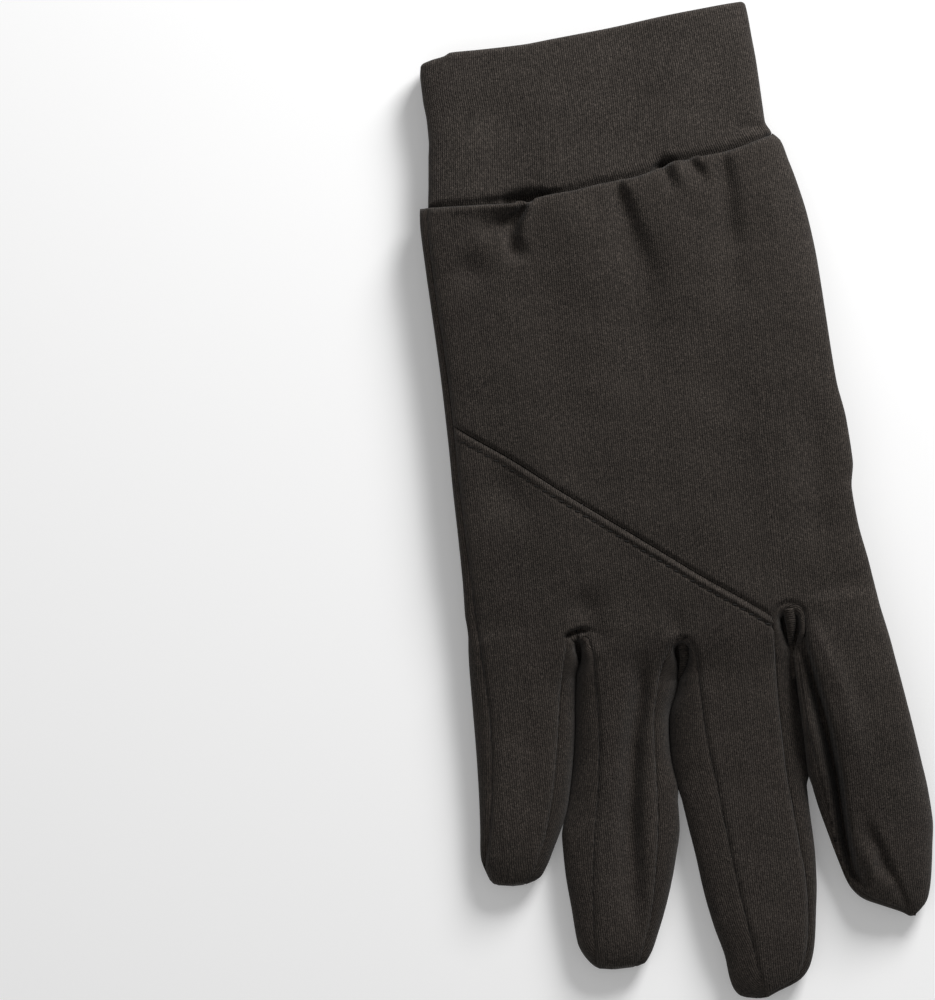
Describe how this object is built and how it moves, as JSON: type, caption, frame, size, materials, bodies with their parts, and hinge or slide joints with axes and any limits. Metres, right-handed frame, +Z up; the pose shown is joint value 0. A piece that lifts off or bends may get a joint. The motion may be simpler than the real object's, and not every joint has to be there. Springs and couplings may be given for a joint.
{
  "type": "knit glove",
  "caption": "Close-fitting stretch-knit glove with a folded cuff, a diagonal seam across the back, strips between the fingers and the thumb folded under the palm.",
  "frame": {"origin": "under the middle of the glove's bounding box, at the level of the surface that it lies on", "axes": "+X to the index finger's side, +Y from the fingertips to the cuff, +Z up through the back of the hand"},
  "size_m": [0.1036, 0.2278, 0.015],
  "materials": {
    "cuff_knit": "matte brushed stretch knit",
    "panel_knit": "matte brushed stretch knit",
    "palm_knit": "matte brushed stretch knit",
    "strip_knit": "matte brushed stretch knit"
  },
  "bodies": {
    "root": {"cuff": "cuff_knit", "back_panel": "panel_knit", "finger_panel": "panel_knit", "palm_panel": "palm_knit", "fourchette_little_ring": "strip_knit", "fourchette_ring_middle": "strip_knit", "fourchette_middle_index": "strip_knit", "thumb": "palm_knit"}
  },
  "joints": []
}
